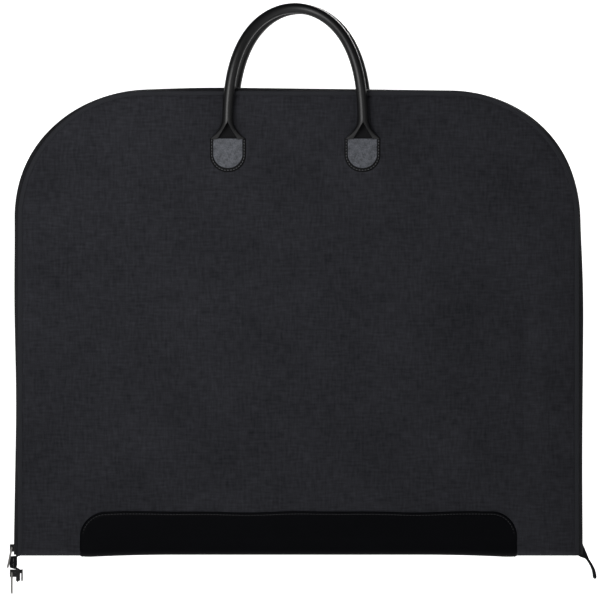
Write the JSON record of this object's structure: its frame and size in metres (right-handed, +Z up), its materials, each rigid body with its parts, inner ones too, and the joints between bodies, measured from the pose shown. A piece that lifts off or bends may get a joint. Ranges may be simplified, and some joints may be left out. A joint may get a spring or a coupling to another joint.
{
  "type": "garment bag",
  "caption": "Fold-over garment bag of dark woven cloth with rolled leather handles, a leather patch round the fold and a zip round three sides.",
  "frame": {"origin": "the grip point, midway between the tops of the two handles, where the bag is carried", "axes": "+X along the fold to the right seen from the front, +Y from the front face to the rear face, +Z up"},
  "size_m": [0.631, 0.0758, 0.631],
  "materials": {
    "shell_fabric": "dark charcoal plain weave",
    "edge_binding": "ribbed charcoal binding",
    "lining_cloth": "smooth dark lining",
    "foam_board": "foam board",
    "zip_tape": "black herringbone tape",
    "zip_coil": "black nylon coil",
    "slider_metal": "black lacquer",
    "puller_metal": "satin nickel",
    "patch_leather": "smooth black leather",
    "tab_leather": "grained grey-black leather",
    "backing_leather": "black split leather",
    "handle_leather": "glossy black rolled leather",
    "rope_core": "twisted cotton rope",
    "elastic_web": "black elastic webbing",
    "eyelet_metal": "bright nickel"
  },
  "bodies": {
    "rear_half": {"hanger_eyelet": "eyelet_metal", "hanger_tab": "backing_leather", "rear_binding": "edge_binding", "rear_garment_band": "elastic_web", "rear_gusset": "shell_fabric", "rear_lining": "lining_cloth", "rear_panel": "shell_fabric", "rear_patch_flap": "patch_leather", "rear_stiffener": "foam_board", "rear_tab_backing_left": "backing_leather", "rear_tab_backing_right": "backing_leather", "rear_tab_left": "tab_leather", "rear_tab_right": "tab_leather", "rear_zip_coil": "zip_coil", "rear_zip_tape": "zip_tape", "zip_tail_left": "zip_tape", "zip_tail_right": "zip_tape"},
    "fold_base": {"base_panel": "shell_fabric", "base_lining": "lining_cloth", "base_patch": "patch_leather"},
    "front_half": {"front_binding": "edge_binding", "front_garment_band": "elastic_web", "front_gusset": "shell_fabric", "front_lining": "lining_cloth", "front_panel": "shell_fabric", "front_patch_flap": "patch_leather", "front_stiffener": "foam_board", "front_tab_backing_left": "backing_leather", "front_tab_backing_right": "backing_leather", "front_tab_left": "tab_leather", "front_tab_right": "tab_leather", "front_zip_coil": "zip_coil", "front_zip_tape": "zip_tape"},
    "front_handle": {"front_handle_roll": "handle_leather", "front_handle_core": "rope_core"},
    "rear_handle": {"rear_handle_roll": "handle_leather", "rear_handle_core": "rope_core"},
    "upper_slider": {"upper_slider": "slider_metal"},
    "upper_puller": {"upper_puller": "puller_metal"},
    "lower_slider": {"lower_slider": "slider_metal"},
    "lower_puller": {"lower_puller": "puller_metal"}
  },
  "joints": [
    {"name": "fold_rear", "type": "hinge", "parent": "rear_half", "child": "fold_base", "pos_m": [0, 0.0262, -0.5827], "axis": [1, 0, 0], "range_deg": [0, 90]},
    {"name": "fold_front", "type": "hinge", "parent": "fold_base", "child": "front_half", "pos_m": [0, -0.0262, -0.5827], "axis": [1, 0, 0], "range_deg": [0, 90]},
    {"name": "front_handle_swing", "type": "hinge", "parent": "front_half", "child": "front_handle", "pos_m": [-0.0035, -0.0275, -0.138], "axis": [1, 0, 0], "range_deg": [0, 150]},
    {"name": "rear_handle_swing", "type": "hinge", "parent": "rear_half", "child": "rear_handle", "pos_m": [0.0015, 0.0275, -0.138], "axis": [-1, 0, 0], "range_deg": [0, 150]},
    {"name": "upper_slider_run", "type": "slide", "parent": "rear_half", "child": "upper_slider", "axis": [0, 0, 1], "range_m": [0, 0.33]},
    {"name": "lower_slider_run", "type": "slide", "parent": "rear_half", "child": "lower_slider", "axis": [0, 0, 1], "range_m": [0, 0.006]},
    {"name": "upper_puller_swing", "type": "hinge", "parent": "upper_slider", "child": "upper_puller", "pos_m": [-0.3065, 0, -0.5765], "axis": [0, 1, 0], "range_deg": [0, 150]},
    {"name": "lower_puller_swing", "type": "hinge", "parent": "lower_slider", "child": "lower_puller", "pos_m": [-0.3065, 0, -0.6035], "axis": [0, 1, 0], "range_deg": [0, 125]}
  ],
  "couplings": [
    {"joint": "fold_front", "follows": "fold_rear", "ratio": 1}
  ]
}
